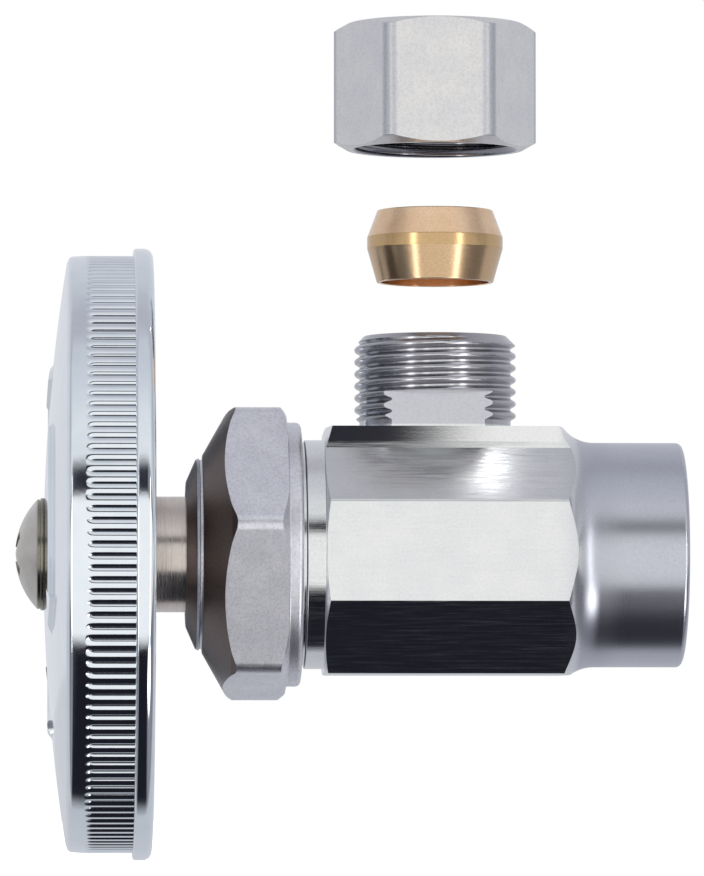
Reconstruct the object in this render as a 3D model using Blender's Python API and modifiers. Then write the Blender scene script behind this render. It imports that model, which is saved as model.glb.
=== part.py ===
"""Multi-turn angle stop valve: sweat inlet for 5/8 in copper tube, 3/8 in compression outlet.

Frame: the origin is the centre of the inlet socket's mouth, +X points out of that socket,
+Z points out of the outlet. The nut and the ferrule stand lifted off the outlet, and the
valve is fully open. All sizes below are millimetres; MM turns them into Blender's metres.
"""
from math import acos, cos, pi, radians, sin, sqrt, tan

import bmesh
import bpy
from mathutils import Matrix

MM = 0.001
ROUND = 48          # sides of a turned piece
WHEEL_ROUND = 72    # sides of the handle wheel
SMALL_ROUND = 32    # sides of a small turned piece
GAP = 0.3           # clearance between pieces that touch on the real valve
THREAD_GAP = 0.2    # radial clearance where a thread is drawn as a plain cylinder
OVERSHOOT = 1.0     # how far a cutter runs past the material
SHARP_ANGLE = radians(30)

# The two copper tubes that the valve joins, and the stem: most other sizes follow from these
INLET_TUBE_RADIUS = 7.9375
OUTLET_TUBE_RADIUS = 4.7625
STEM_RADIUS = 5.1

# Inlet socket
SOCKET_BORE_RADIUS = INLET_TUBE_RADIUS + 0.0375
SOCKET_DEPTH = 12.7
SOCKET_WALL = 1.945
SOCKET_EDGE = 0.45
SOCKET_LENGTH = 7.0     # straight outside length before the flare
FLARE_RADIUS = 6.0
FLARE_STEPS = 6

# Packing recess, threaded neck and collar, each outside the one before
PACKING_WIDTH = 2.6     # radial room for the packing
STEM_BORE_RADIUS = STEM_RADIUS + GAP
PACKING_RECESS_RADIUS = STEM_BORE_RADIUS + PACKING_WIDTH
PACKING_RECESS_DEPTH = 2.2
NECK_WALL = 1.8
NECK_RADIUS = PACKING_RECESS_RADIUS + NECK_WALL
NECK_LENGTH = 5.1
COLLAR_STEP = 0.3
COLLAR_RADIUS = NECK_RADIUS + COLLAR_STEP
COLLAR_LENGTH = 1.7

# Octagonal body with a raised rib along its top; it is wider than the socket and the collar
SOCKET_RADIUS = SOCKET_BORE_RADIUS + SOCKET_WALL
SOCKET_SHOULDER = 0.68
COLLAR_SHOULDER = 0.5
BODY_HALF_FLAT = max(SOCKET_RADIUS + SOCKET_SHOULDER, COLLAR_RADIUS + COLLAR_SHOULDER)
BODY_END = -31.7
BODY_SHOULDER = 0.8
RIB_RISE = 0.53
RIB_HALF_WIDTH = 5.6
RIB_DRAFT = 0.12        # widening per millimetre down
RIB_DEPTH = 4.0         # how far the rib reaches into the octagon
TURNED_SPARE = 0.3      # the lathe stays this far outside the rib's corners

# Seat and chamber inside the body
SEAT_FLOOR = 3.7        # from the socket's floor to the chamber's end wall
SEAT_HEIGHT = 0.8
SEAT_WALL = 0.9
ORIFICE_RADIUS = 3.2
CHAMBER_STEP = 1.1
CHAMBER_RADIUS = STEM_BORE_RADIUS + CHAMBER_STEP
CHAMBER_LENGTH = 11.1

# Ferrule
FERRULE_LIFT = 4.8      # its foot above the outlet's rim
FERRULE_TUBE_GAP = 0.02
FERRULE_BAND_WALL = 1.22
FERRULE_FOOT_WALL = 0.37
FERRULE_TOP_WALL = 0.32
FERRULE_BORE_RADIUS = OUTLET_TUBE_RADIUS + FERRULE_TUBE_GAP
FERRULE_BAND_RADIUS = FERRULE_BORE_RADIUS + FERRULE_BAND_WALL
FERRULE_FOOT_RADIUS = FERRULE_BORE_RADIUS + FERRULE_FOOT_WALL
FERRULE_TOP_RADIUS = FERRULE_BORE_RADIUS + FERRULE_TOP_WALL
FERRULE_FOOT = 3.0
FERRULE_BAND = 1.0
FERRULE_TOP = 2.4
FERRULE_TAPER = (FERRULE_BAND_RADIUS - FERRULE_FOOT_RADIUS) / FERRULE_FOOT

# Outlet, its 9/16-24 thread drawn as a plain cylinder
OUTLET_X = -21.75
OUTLET_STEP = 1.0975    # the outlet's outside is this much wider than the ferrule's band
OUTLET_RADIUS = FERRULE_BAND_RADIUS + OUTLET_STEP
OUTLET_TOP = BODY_HALF_FLAT + 8.7
OUTLET_CHAMFER = 0.75
WRENCH_FLAT_DEPTH = 1.55
WRENCH_HALF_FLAT = OUTLET_RADIUS - WRENCH_FLAT_DEPTH
WRENCH_TOP = BODY_HALF_FLAT + 3.6
MOUTH_OPENING = 0.6     # radius of the mouth beyond the ferrule's foot
TUBE_SOCKET_GAP = 0.09
TUBE_SOCKET_RADIUS = OUTLET_TUBE_RADIUS + TUBE_SOCKET_GAP
TUBE_SOCKET_DEPTH = 6.3

# Packing nut, washer and ring
NUT_SIDE_WALL = 2.1     # from the neck to a flat
NUT_HALF_FLAT = NECK_RADIUS + NUT_SIDE_WALL
NUT_TURN = 10.0         # degrees from the front up to its first corner
NUT_FLANGE_INSET = 0.25
NUT_FLANGE_RADIUS = NUT_HALF_FLAT - NUT_FLANGE_INSET
NUT_FLANGE_LENGTH = 1.3
NUT_HEX_LENGTH = 5.0
NUT_CHAMFER = 0.9
NUT_CHAMFER_STEP = 0.4
NUT_CHAMFER_RADIUS = NUT_HALF_FLAT + NUT_CHAMFER_STEP
NUT_CONE_STEP = 1.0
NUT_CONE_RADIUS = NUT_HALF_FLAT + NUT_CONE_STEP
NUT_CONE_WALL = 0.5
NUT_CONE_END_RADIUS = PACKING_RECESS_RADIUS + NUT_CONE_WALL
NUT_CONE_LENGTH = 2.6
NUT_LIP_LENGTH = 1.2
NUT_LIP_WALL = 1.0
NUT_LIP_RADIUS = STEM_BORE_RADIUS + NUT_LIP_WALL
NUT_WALL = 2.6          # metal left in front of the packing
PACKING_WASHER_THICKNESS = 0.8

# Stem
STEM_TRAVEL = 3.175     # two turns of a 16-per-inch thread
HANDLE_CLEARANCE = 0.6  # hub to packing nut when the valve is closed
CUP_DEPTH = 1.7
CUP_WALL = 0.4
SQUARE_SHOULDER = 1.9
SQUARE_HALF = STEM_RADIUS - SQUARE_SHOULDER
SQUARE_LENGTH = 6.0

# Seat washer and its screw
SEAT_WASHER_THICKNESS = 2.3
SEAT_SCREW_RADIUS = 1.4
SEAT_SCREW_HEAD_RADIUS = 2.4
SEAT_SCREW_HEAD = 1.2
SEAT_SCREW_LENGTH = 6.2
SEAT_SLOT_HALF_WIDTH = 0.35
SEAT_SLOT_DEPTH = 0.6

# Handle wheel
WHEEL_RADIUS = 26.3
WHEEL_FLANGE_STEP = 0.65
WHEEL_FLANGE = 1.7
WHEEL_BAND = 5.5
WHEEL_EDGE = 0.35
WHEEL_EDGE_INSET = 0.7
WHEEL_CROWN = 2.0
WHEEL_WALL = 1.6
WHEEL_SKIRT = 0.8       # the rim stands this far behind the hub's end
CROWN_STEPS = 6
HUB_WALL = 2.4
HUB_RADIUS = STEM_RADIUS + HUB_WALL
SPOT_FACE_DEPTH = 0.4

# Handle screw
SCREW_HEAD_RADIUS = 4.95
SPOT_FACE_GAP = 0.35
SPOT_FACE_RADIUS = SCREW_HEAD_RADIUS + SPOT_FACE_GAP
SCREW_HEAD_RIM = 0.5
SCREW_HEAD_DOME = 2.1
SCREW_RADIUS = 1.9
SCREW_LENGTH = 6.0      # below its head
DRIVER_HALF_WIDTH = 0.5
DRIVER_HALF_LENGTH = 2.3
DRIVER_DEPTH = 1.5
DRIVER_TURN = radians(45)   # of the cross from upright

# Compression nut
CAP_SIDE_WALL = 0.8375  # from the thread to a flat
CAP_HALF_FLAT = OUTLET_RADIUS + CAP_SIDE_WALL
CAP_HEIGHT = 11.1
CAP_LIFT = 16.6         # its lower face above the outlet's rim
CAP_BORE_RADIUS = OUTLET_RADIUS + THREAD_GAP
CAP_BORE_DEPTH = 7.7
CAP_CONE_STEP = 0.7
CAP_CONE_LENGTH = 2.7
CAP_HOLE_GAP = 0.34
CAP_HOLE_RADIUS = OUTLET_TUBE_RADIUS + CAP_HOLE_GAP
CAP_CHAMFER = 0.95

# Places that follow from the sizes above
RIB_TOP = BODY_HALF_FLAT + RIB_RISE
TURNED_RADIUS = sqrt(RIB_TOP ** 2 + RIB_HALF_WIDTH ** 2) + TURNED_SPARE
COLLAR_END = BODY_END - COLLAR_LENGTH
NECK_END = COLLAR_END - NECK_LENGTH
RECESS_FLOOR = NECK_END + PACKING_RECESS_DEPTH
CHAMBER_WALL = -SOCKET_DEPTH - SEAT_FLOOR
CHAMBER_END = CHAMBER_WALL - CHAMBER_LENGTH
SEAT_FACE = CHAMBER_WALL - SEAT_HEIGHT
WASHER_FACE = SEAT_FACE - GAP - STEM_TRAVEL
WASHER_BACK = WASHER_FACE - SEAT_WASHER_THICKNESS
CUP_FLOOR = WASHER_BACK - GAP
NUT_FACE = COLLAR_END - GAP
NUT_HEX_START = NUT_FACE - NUT_FLANGE_LENGTH
NUT_HEX_END = NUT_HEX_START - NUT_HEX_LENGTH
NUT_CONE_END = NUT_HEX_END - NUT_CONE_LENGTH
NUT_END = NUT_CONE_END - NUT_LIP_LENGTH
NUT_POCKET = NUT_END + NUT_WALL
HUB_BACK = NUT_END - STEM_TRAVEL - HANDLE_CLEARANCE
STEM_SHOULDER = HUB_BACK + GAP
SQUARE_END = STEM_SHOULDER - SQUARE_LENGTH
HUB_FLOOR = SQUARE_END - GAP
WHEEL_BACK = HUB_BACK + WHEEL_SKIRT
WHEEL_FRONT = WHEEL_BACK - WHEEL_FLANGE - WHEEL_BAND
CROWN_EDGE = WHEEL_FRONT - WHEEL_EDGE
CROWN_TOP = CROWN_EDGE - WHEEL_CROWN
SPOT_FACE = CROWN_TOP + SPOT_FACE_DEPTH
SCREW_SEAT = SPOT_FACE - GAP
SCREW_END = SCREW_SEAT + SCREW_LENGTH
CAP_BOTTOM = OUTLET_TOP + CAP_LIFT
CAP_TOP = CAP_BOTTOM + CAP_HEIGHT


def clear_scene():
    for obj in list(bpy.data.objects):
        bpy.data.objects.remove(obj, do_unlink=True)


def collection(name):
    made = bpy.data.collections.new(name)
    bpy.context.scene.collection.children.link(made)
    return made


def material(name, colour, roughness, metallic):
    made = bpy.data.materials.new(name)
    made.use_nodes = True
    shader = made.node_tree.nodes["Principled BSDF"]
    shader.inputs["Base Color"].default_value = (*colour, 1.0)
    shader.inputs["Roughness"].default_value = roughness
    shader.inputs["Metallic"].default_value = metallic
    return made


def add_object(name, mesh, where):
    obj = bpy.data.objects.new(name, mesh)
    where.objects.link(obj)
    if where is HELPERS:
        obj.hide_render = True
        obj.display_type = "WIRE"
    return obj


def turned(name, outline, where, axis="X", x=0.0, closed=True, sides=ROUND):
    """A section of (along the axis, radius) points turned round X, or round Z at the given x.

    The section runs along its outer side from the high end of the axis to the low end.
    """
    mesh = bpy.data.meshes.new(name)
    points = [(radius * MM, 0.0, along * MM) for along, radius in outline]
    edges = [(i, i + 1) for i in range(len(points) - 1)]
    if closed:
        edges.append((len(points) - 1, 0))
    mesh.from_pydata(points, edges, [])
    obj = add_object(name, mesh, where)
    screw = obj.modifiers.new("turn", "SCREW")
    screw.steps = screw.render_steps = sides
    screw.use_merge_vertices = True
    screw.merge_threshold = 1e-6
    if axis == "X":
        obj.rotation_euler = (0.0, pi / 2, 0.0)
    obj.location.x = x * MM
    return obj


def bar(name, sides, half_flat, low, high, where, axis="X", x=0.0, first_corner=0.0):
    """A regular bar, flats at half_flat, from low to high along X, or along Z at the given x.

    first_corner is the angle of one corner, from +Y towards +Z on a bar along X.
    """
    mesh = bpy.data.meshes.new(name)
    shape = bmesh.new()
    corner_radius = half_flat / cos(pi / sides)
    bmesh.ops.create_cone(
        shape, cap_ends=True, segments=sides, radius1=corner_radius * MM,
        radius2=corner_radius * MM, depth=(high - low) * MM,
        matrix=Matrix.Rotation(radians(first_corner), 4, "Z"))
    shape.to_mesh(mesh)
    shape.free()
    obj = add_object(name, mesh, where)
    middle = (low + high) / 2
    if axis == "X":
        obj.rotation_euler = (0.0, pi / 2, 0.0)
        obj.location.x = middle * MM
    else:
        obj.location = (x * MM, 0.0, middle * MM)
    return obj


def box(name, low, high, where, draft=0.0):
    """A box between two corners; draft narrows its upper face in Y, per millimetre of height."""
    mesh = bpy.data.meshes.new(name)
    shape = bmesh.new()
    bmesh.ops.create_cube(shape, size=1.0)
    for vertex in shape.verts:
        upper = vertex.co.z > 0
        side = 1 if vertex.co.y > 0 else -1
        vertex.co = [MM * (b if c > 0 else a) for a, b, c in zip(low, high, vertex.co)]
        if upper:
            vertex.co.y -= side * draft * (high[2] - low[2]) * MM
    shape.to_mesh(mesh)
    shape.free()
    return add_object(name, mesh, where)


def combine(obj, other, operation):
    step = obj.modifiers.new(f"{operation.lower()} {other.name}", "BOOLEAN")
    step.solver = "EXACT"
    step.operation = operation
    step.object = other


def smoothed(piece):
    """Applies the piece's modifiers and shades it smooth, with its edges kept sharp."""
    graph = bpy.context.evaluated_depsgraph_get()
    mesh = bpy.data.meshes.new_from_object(piece.evaluated_get(graph))
    mesh.name = piece.name
    mesh.shade_smooth()
    mesh.set_sharp_from_angle(angle=SHARP_ANGLE)
    piece.modifiers.clear()
    piece.data = mesh
    return piece


def flare():
    """The hollow curve from the socket's outside up to the turned radius of the body."""
    sweep = acos(1 - (TURNED_RADIUS - SOCKET_RADIUS) / FLARE_RADIUS)
    angles = [sweep * i / FLARE_STEPS for i in range(FLARE_STEPS + 1)]
    return [(-SOCKET_LENGTH - FLARE_RADIUS * sin(a),
             SOCKET_RADIUS + FLARE_RADIUS * (1 - cos(a))) for a in angles]


def crown(offset, outer, inner, steps):
    """The wheel's face as an arc from one radius to another, offset into the wheel."""
    rim = WHEEL_RADIUS - WHEEL_EDGE_INSET
    sphere = (rim ** 2 + WHEEL_CROWN ** 2) / (2 * WHEEL_CROWN)
    radii = [outer + (inner - outer) * i / steps for i in range(steps + 1)]
    return [(CROWN_TOP + offset + sphere - sqrt(sphere ** 2 - r ** 2), r) for r in radii]


def body_section():
    outside = [(0.0, SOCKET_RADIUS - SOCKET_EDGE), (-SOCKET_EDGE, SOCKET_RADIUS)] + flare() + [
        (BODY_END + BODY_SHOULDER, TURNED_RADIUS),
        (BODY_END, BODY_HALF_FLAT),
        (BODY_END, COLLAR_RADIUS),
        (COLLAR_END, COLLAR_RADIUS),
        (COLLAR_END, NECK_RADIUS),
        (NECK_END + GAP, NECK_RADIUS),
        (NECK_END, NECK_RADIUS - GAP)]
    inside = [
        (NECK_END, PACKING_RECESS_RADIUS),
        (RECESS_FLOOR, PACKING_RECESS_RADIUS),
        (RECESS_FLOOR, STEM_BORE_RADIUS),
        (CHAMBER_END, STEM_BORE_RADIUS),
        (CHAMBER_END, CHAMBER_RADIUS),
        (CHAMBER_WALL, CHAMBER_RADIUS),
        (CHAMBER_WALL, ORIFICE_RADIUS + SEAT_WALL),
        (SEAT_FACE, ORIFICE_RADIUS + SEAT_WALL),
        (SEAT_FACE, ORIFICE_RADIUS),
        (-SOCKET_DEPTH, ORIFICE_RADIUS),
        (-SOCKET_DEPTH, SOCKET_BORE_RADIUS),
        (-SOCKET_EDGE, SOCKET_BORE_RADIUS),
        (0.0, SOCKET_BORE_RADIUS + SOCKET_EDGE)]
    return outside + inside


def outlet_boss():
    """The round outlet with its top chamfer and the two wrench flats at its root."""
    boss = turned("outlet_boss", [
        (OUTLET_TOP, 0.0),
        (OUTLET_TOP, OUTLET_RADIUS - OUTLET_CHAMFER),
        (OUTLET_TOP - OUTLET_CHAMFER, OUTLET_RADIUS),
        (CHAMBER_RADIUS + GAP, OUTLET_RADIUS),
        (CHAMBER_RADIUS + GAP, 0.0)], HELPERS, "Z", OUTLET_X, closed=False)
    for side in (-1, 1):
        reach = OUTLET_RADIUS + OVERSHOOT
        near, far = sorted((side * WRENCH_HALF_FLAT, side * reach))
        flat = box(f"wrench_flat_{side}", (OUTLET_X - reach, near, 0.0),
                   (OUTLET_X + reach, far, WRENCH_TOP), HELPERS)
        combine(boss, flat, "DIFFERENCE")
    return boss


def outlet_bore():
    """The mouth's cone matches the ferrule's foot, and the tube socket lies under it."""
    mouth = FERRULE_FOOT_RADIUS + MOUTH_OPENING
    cone = (mouth - TUBE_SOCKET_RADIUS) / FERRULE_TAPER
    floor = OUTLET_TOP - TUBE_SOCKET_DEPTH
    return turned("outlet_bore", [
        (OUTLET_TOP + OVERSHOOT, 0.0),
        (OUTLET_TOP + OVERSHOOT, mouth + FERRULE_TAPER * OVERSHOOT),
        (OUTLET_TOP - cone, TUBE_SOCKET_RADIUS),
        (floor, TUBE_SOCKET_RADIUS),
        (floor, ORIFICE_RADIUS),
        (CHAMBER_RADIUS / 2, ORIFICE_RADIUS),
        (CHAMBER_RADIUS / 2, 0.0)], HELPERS, "Z", OUTLET_X, closed=False)


def valve_body():
    """An octagonal bar with a rib, cut back to its turned section, with the outlet on top."""
    body = bar("valve_body", 8, BODY_HALF_FLAT, NECK_END - OVERSHOOT, OVERSHOOT, PARTS,
               first_corner=22.5)
    rib_floor = RIB_TOP - RIB_RISE - RIB_DEPTH
    root_half_width = RIB_HALF_WIDTH + RIB_DRAFT * (RIB_TOP - rib_floor)
    rib = box("rib", (BODY_END - OVERSHOOT, -root_half_width, rib_floor),
              (-SOCKET_LENGTH, root_half_width, RIB_TOP), HELPERS, RIB_DRAFT)
    combine(body, rib, "UNION")
    combine(body, turned("body_section", body_section(), HELPERS), "INTERSECT")
    combine(body, outlet_boss(), "UNION")
    combine(body, outlet_bore(), "DIFFERENCE")
    return body


def packing_nut():
    nut = bar("packing_nut", 6, NUT_HALF_FLAT, NUT_END - OVERSHOOT, NUT_FACE + OVERSHOOT,
              PARTS, first_corner=180 - NUT_TURN)
    wide = NUT_HALF_FLAT / cos(pi / 6) + TURNED_SPARE
    section = [
        (NUT_FACE, NUT_FLANGE_RADIUS - GAP),
        (NUT_FACE - GAP, NUT_FLANGE_RADIUS),
        (NUT_HEX_START, NUT_FLANGE_RADIUS),
        (NUT_HEX_START, NUT_CHAMFER_RADIUS),
        (NUT_HEX_START - NUT_CHAMFER, wide),
        (NUT_HEX_END + NUT_CHAMFER, wide),
        (NUT_HEX_END, NUT_CONE_RADIUS),
        (NUT_CONE_END, NUT_CONE_END_RADIUS),
        (NUT_END, NUT_LIP_RADIUS),
        (NUT_END, STEM_BORE_RADIUS),
        (NUT_POCKET, STEM_BORE_RADIUS),
        (NUT_POCKET, PACKING_RECESS_RADIUS),
        (NECK_END - GAP, PACKING_RECESS_RADIUS),
        (NECK_END - GAP, NECK_RADIUS + GAP),
        (NUT_FACE, NECK_RADIUS + GAP)]
    combine(nut, turned("packing_nut_section", section, HELPERS), "INTERSECT")
    return nut


def ring(name, high, low, outer, inner, axis="X", x=0.0, sides=ROUND):
    section = [(high, outer), (low, outer), (low, inner), (high, inner)]
    return turned(name, section, PARTS, axis, x, sides=sides)


def packing_washer():
    face = RECESS_FLOOR - GAP
    return ring("packing_washer", face, face - PACKING_WASHER_THICKNESS,
                PACKING_RECESS_RADIUS - GAP, STEM_BORE_RADIUS)


def packing_ring():
    face = RECESS_FLOOR - 2 * GAP - PACKING_WASHER_THICKNESS
    return ring("packing_ring", face, NUT_POCKET + GAP,
                PACKING_RECESS_RADIUS - GAP, STEM_BORE_RADIUS)


def seat_washer():
    return ring("seat_washer", WASHER_FACE, WASHER_BACK, STEM_RADIUS - CUP_WALL - GAP,
                SEAT_SCREW_RADIUS + GAP, sides=SMALL_ROUND)


def stem():
    """A round stem with a cup for the washer at one end and a square for the wheel."""
    lip = CUP_FLOOR + CUP_DEPTH
    screw_floor = WASHER_FACE + GAP - SEAT_SCREW_LENGTH - GAP
    made = turned("stem", [
        (screw_floor, 0.0),
        (screw_floor, SEAT_SCREW_RADIUS + GAP),
        (CUP_FLOOR, SEAT_SCREW_RADIUS + GAP),
        (CUP_FLOOR, STEM_RADIUS - CUP_WALL),
        (lip, STEM_RADIUS - CUP_WALL),
        (lip, STEM_RADIUS),
        (STEM_SHOULDER, STEM_RADIUS),
        (STEM_SHOULDER, 0.0)], PARTS, closed=False)
    square = box("stem_square", (SQUARE_END, -SQUARE_HALF, -SQUARE_HALF),
                 (STEM_SHOULDER + OVERSHOOT, SQUARE_HALF, SQUARE_HALF), HELPERS)
    combine(made, square, "UNION")
    hole = turned("stem_screw_hole", [
        (SCREW_END + GAP, 0.0),
        (SCREW_END + GAP, SCREW_RADIUS + GAP),
        (SQUARE_END - OVERSHOOT, SCREW_RADIUS + GAP),
        (SQUARE_END - OVERSHOOT, 0.0)], HELPERS, closed=False, sides=SMALL_ROUND)
    combine(made, hole, "DIFFERENCE")
    return made


def seat_washer_screw():
    seat = WASHER_FACE + GAP
    made = turned("seat_washer_screw", [
        (seat + SEAT_SCREW_HEAD, 0.0),
        (seat + SEAT_SCREW_HEAD, SEAT_SCREW_HEAD_RADIUS - GAP),
        (seat + SEAT_SCREW_HEAD - GAP, SEAT_SCREW_HEAD_RADIUS),
        (seat, SEAT_SCREW_HEAD_RADIUS),
        (seat, SEAT_SCREW_RADIUS),
        (seat - SEAT_SCREW_LENGTH, SEAT_SCREW_RADIUS),
        (seat - SEAT_SCREW_LENGTH, 0.0)], PARTS, closed=False, sides=SMALL_ROUND)
    top = seat + SEAT_SCREW_HEAD
    slot = box("seat_screw_slot",
               (top - SEAT_SLOT_DEPTH, -SEAT_SLOT_HALF_WIDTH, -SEAT_SCREW_HEAD_RADIUS - GAP),
               (top + OVERSHOOT, SEAT_SLOT_HALF_WIDTH, SEAT_SCREW_HEAD_RADIUS + GAP), HELPERS)
    combine(made, slot, "DIFFERENCE")
    return made


def handle_wheel():
    """A hollow-backed wheel: flanged rim, shallow crown, and a hub with a square socket."""
    skirt = WHEEL_RADIUS - WHEEL_WALL
    flange = WHEEL_RADIUS + WHEEL_FLANGE_STEP
    section = [
        (WHEEL_BACK, flange - GAP / 2),
        (WHEEL_BACK - GAP / 2, flange),
        (WHEEL_BACK - WHEEL_FLANGE, flange),
        (WHEEL_BACK - WHEEL_FLANGE, WHEEL_RADIUS),
        (WHEEL_FRONT, WHEEL_RADIUS - GAP / 2)]
    section += crown(0.0, WHEEL_RADIUS - WHEEL_EDGE_INSET, SPOT_FACE_RADIUS, CROWN_STEPS)
    section += [
        (SPOT_FACE, SPOT_FACE_RADIUS),
        (SPOT_FACE, SCREW_RADIUS + GAP),
        (HUB_BACK, SCREW_RADIUS + GAP),
        (HUB_BACK, HUB_RADIUS)]
    section += crown(WHEEL_WALL, HUB_RADIUS, skirt, CROWN_STEPS)
    section.append((WHEEL_BACK, skirt))
    wheel = turned("handle_wheel", section, PARTS, sides=WHEEL_ROUND)
    half = SQUARE_HALF + GAP
    socket = box("wheel_square", (HUB_FLOOR, -half, -half),
                 (HUB_BACK + OVERSHOOT, half, half), HELPERS)
    combine(wheel, socket, "DIFFERENCE")
    return wheel


def handle_screw():
    """A domed screw with a cross recess."""
    rim = SCREW_SEAT - SCREW_HEAD_RIM
    top = rim - SCREW_HEAD_DOME
    sphere = (SCREW_HEAD_RADIUS ** 2 + SCREW_HEAD_DOME ** 2) / (2 * SCREW_HEAD_DOME)
    radii = [SCREW_HEAD_RADIUS * (1 - i / CROWN_STEPS) for i in range(CROWN_STEPS + 1)]
    dome = [(top + sphere - sqrt(sphere ** 2 - r ** 2), r) for r in radii]
    made = turned("handle_screw", [
        (SCREW_END, 0.0),
        (SCREW_END, SCREW_RADIUS),
        (SCREW_SEAT, SCREW_RADIUS),
        (SCREW_SEAT, SCREW_HEAD_RADIUS)] + dome, PARTS, closed=False, sides=SMALL_ROUND)
    for name, half_y, half_z in (("driver_slot_y", DRIVER_HALF_LENGTH, DRIVER_HALF_WIDTH),
                                 ("driver_slot_z", DRIVER_HALF_WIDTH, DRIVER_HALF_LENGTH)):
        slot = box(name, (top - OVERSHOOT, -half_y, -half_z),
                   (top + DRIVER_DEPTH, half_y, half_z), HELPERS)
        slot.rotation_euler.x = DRIVER_TURN
        combine(made, slot, "DIFFERENCE")
    return made


def compression_nut():
    nut = bar("compression_nut", 6, CAP_HALF_FLAT, CAP_BOTTOM - OVERSHOOT,
              CAP_TOP + OVERSHOOT, PARTS, "Z", OUTLET_X, first_corner=30.0)
    wide = CAP_HALF_FLAT / cos(pi / 6) + TURNED_SPARE
    narrow = wide - CAP_CHAMFER / tan(radians(30))
    thread_end = CAP_BOTTOM + CAP_BORE_DEPTH
    section = [
        (CAP_TOP, narrow),
        (CAP_TOP - CAP_CHAMFER, wide),
        (CAP_BOTTOM + CAP_CHAMFER, wide),
        (CAP_BOTTOM, narrow),
        (CAP_BOTTOM, CAP_BORE_RADIUS),
        (thread_end, CAP_BORE_RADIUS),
        (thread_end, CAP_BORE_RADIUS - CAP_CONE_STEP),
        (thread_end + CAP_CONE_LENGTH, CAP_HOLE_RADIUS),
        (CAP_TOP, CAP_HOLE_RADIUS)]
    combine(nut, turned("compression_nut_section", section, HELPERS, "Z", OUTLET_X),
            "INTERSECT")
    return nut


def ferrule():
    """A brass sleeve with a band between two tapers; its foot faces the outlet."""
    foot = OUTLET_TOP + FERRULE_LIFT
    band = foot + FERRULE_FOOT
    top = band + FERRULE_BAND + FERRULE_TOP
    return turned("ferrule", [
        (top, FERRULE_TOP_RADIUS),
        (band + FERRULE_BAND, FERRULE_BAND_RADIUS),
        (band, FERRULE_BAND_RADIUS),
        (foot, FERRULE_FOOT_RADIUS),
        (foot, FERRULE_BORE_RADIUS),
        (top, FERRULE_BORE_RADIUS)], PARTS, "Z", OUTLET_X)


def main():
    chrome = ((0.80, 0.81, 0.84), 0.12, 1.0)
    brass = ((0.80, 0.55, 0.30), 0.30, 1.0)
    rubber = ((0.03, 0.03, 0.03), 0.70, 0.0)
    steel = ((0.55, 0.53, 0.50), 0.35, 1.0)
    pieces = (
        (valve_body, chrome), (packing_nut, chrome), (packing_washer, brass),
        (packing_ring, rubber), (seat_washer, rubber), (stem, brass),
        (seat_washer_screw, brass), (handle_wheel, chrome), (handle_screw, steel),
        (compression_nut, chrome), (ferrule, brass))
    for make, finish in pieces:
        piece = smoothed(make())
        piece.data.materials.append(material(f"{piece.name}_finish", *finish))


clear_scene()
PARTS = collection("angle_stop_valve")
HELPERS = collection("cutters")
main()
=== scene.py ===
# %% [markdown]
# # An angle stop valve, piece by piece
# The valve joins a soldered copper pipe to a small supply tube and shuts the water off with a
# round handle wheel. It is nearly all turned and milled metal, so each piece is made the way a
# lathe or a mill would make it: a section turned round an axis, or a bar cut to that section.
# The plain model gives every place, and this file gives each piece its fine edges and finish.

from math import acos, cos, hypot, pi, radians, sin, sqrt, tan

import bmesh
import bpy
from mathutils import Matrix, Vector


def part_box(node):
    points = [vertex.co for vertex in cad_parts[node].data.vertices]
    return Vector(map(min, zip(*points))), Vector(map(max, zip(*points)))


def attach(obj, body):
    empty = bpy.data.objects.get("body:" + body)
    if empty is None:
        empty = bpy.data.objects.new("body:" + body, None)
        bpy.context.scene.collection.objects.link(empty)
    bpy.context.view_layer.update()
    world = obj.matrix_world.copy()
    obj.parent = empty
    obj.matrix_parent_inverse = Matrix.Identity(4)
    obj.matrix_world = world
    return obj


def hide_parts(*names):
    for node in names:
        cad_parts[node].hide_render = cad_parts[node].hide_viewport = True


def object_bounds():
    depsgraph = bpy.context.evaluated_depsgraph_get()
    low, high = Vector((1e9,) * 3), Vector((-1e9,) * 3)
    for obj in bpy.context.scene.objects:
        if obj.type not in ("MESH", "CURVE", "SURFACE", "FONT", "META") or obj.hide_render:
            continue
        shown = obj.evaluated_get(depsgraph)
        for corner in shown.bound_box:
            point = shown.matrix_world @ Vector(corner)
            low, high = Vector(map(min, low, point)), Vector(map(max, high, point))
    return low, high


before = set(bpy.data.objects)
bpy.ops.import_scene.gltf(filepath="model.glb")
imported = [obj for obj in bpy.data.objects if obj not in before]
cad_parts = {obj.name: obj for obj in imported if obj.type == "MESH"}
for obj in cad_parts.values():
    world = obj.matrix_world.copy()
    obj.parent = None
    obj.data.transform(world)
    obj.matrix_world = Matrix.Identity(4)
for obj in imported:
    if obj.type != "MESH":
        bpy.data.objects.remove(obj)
cad_low, cad_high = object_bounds()
print("nodes:", ", ".join(sorted(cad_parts)))

# %% [markdown]
# Fittings are drawn in millimetres and Blender works in metres, so one constant converts.
# The places of the main faces come from the plain model, so the fine pieces sit exactly on it.

# %% Read the places of the main faces
MM = 0.001


def box_mm(node):
    low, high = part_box(node)
    return Vector(low) / MM, Vector(high) / MM


body_low, body_high = box_mm("valve_body")
nut_low, nut_high = box_mm("packing_nut")
_, wheel_high = box_mm("handle_wheel")
_, screw_high = box_mm("handle_screw")
stem_low, stem_high = box_mm("stem")
cap_low, cap_high = box_mm("compression_nut")
ferrule_low, ferrule_high = box_mm("ferrule")
OUTLET_X = (cap_low.x + cap_high.x) / 2
HALF_FLAT = -body_low.z
OUTLET_TOP = body_high.z
print(f"outlet axis at x = {OUTLET_X:.2f} mm, its rim at z = {OUTLET_TOP:.2f} mm")

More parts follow.
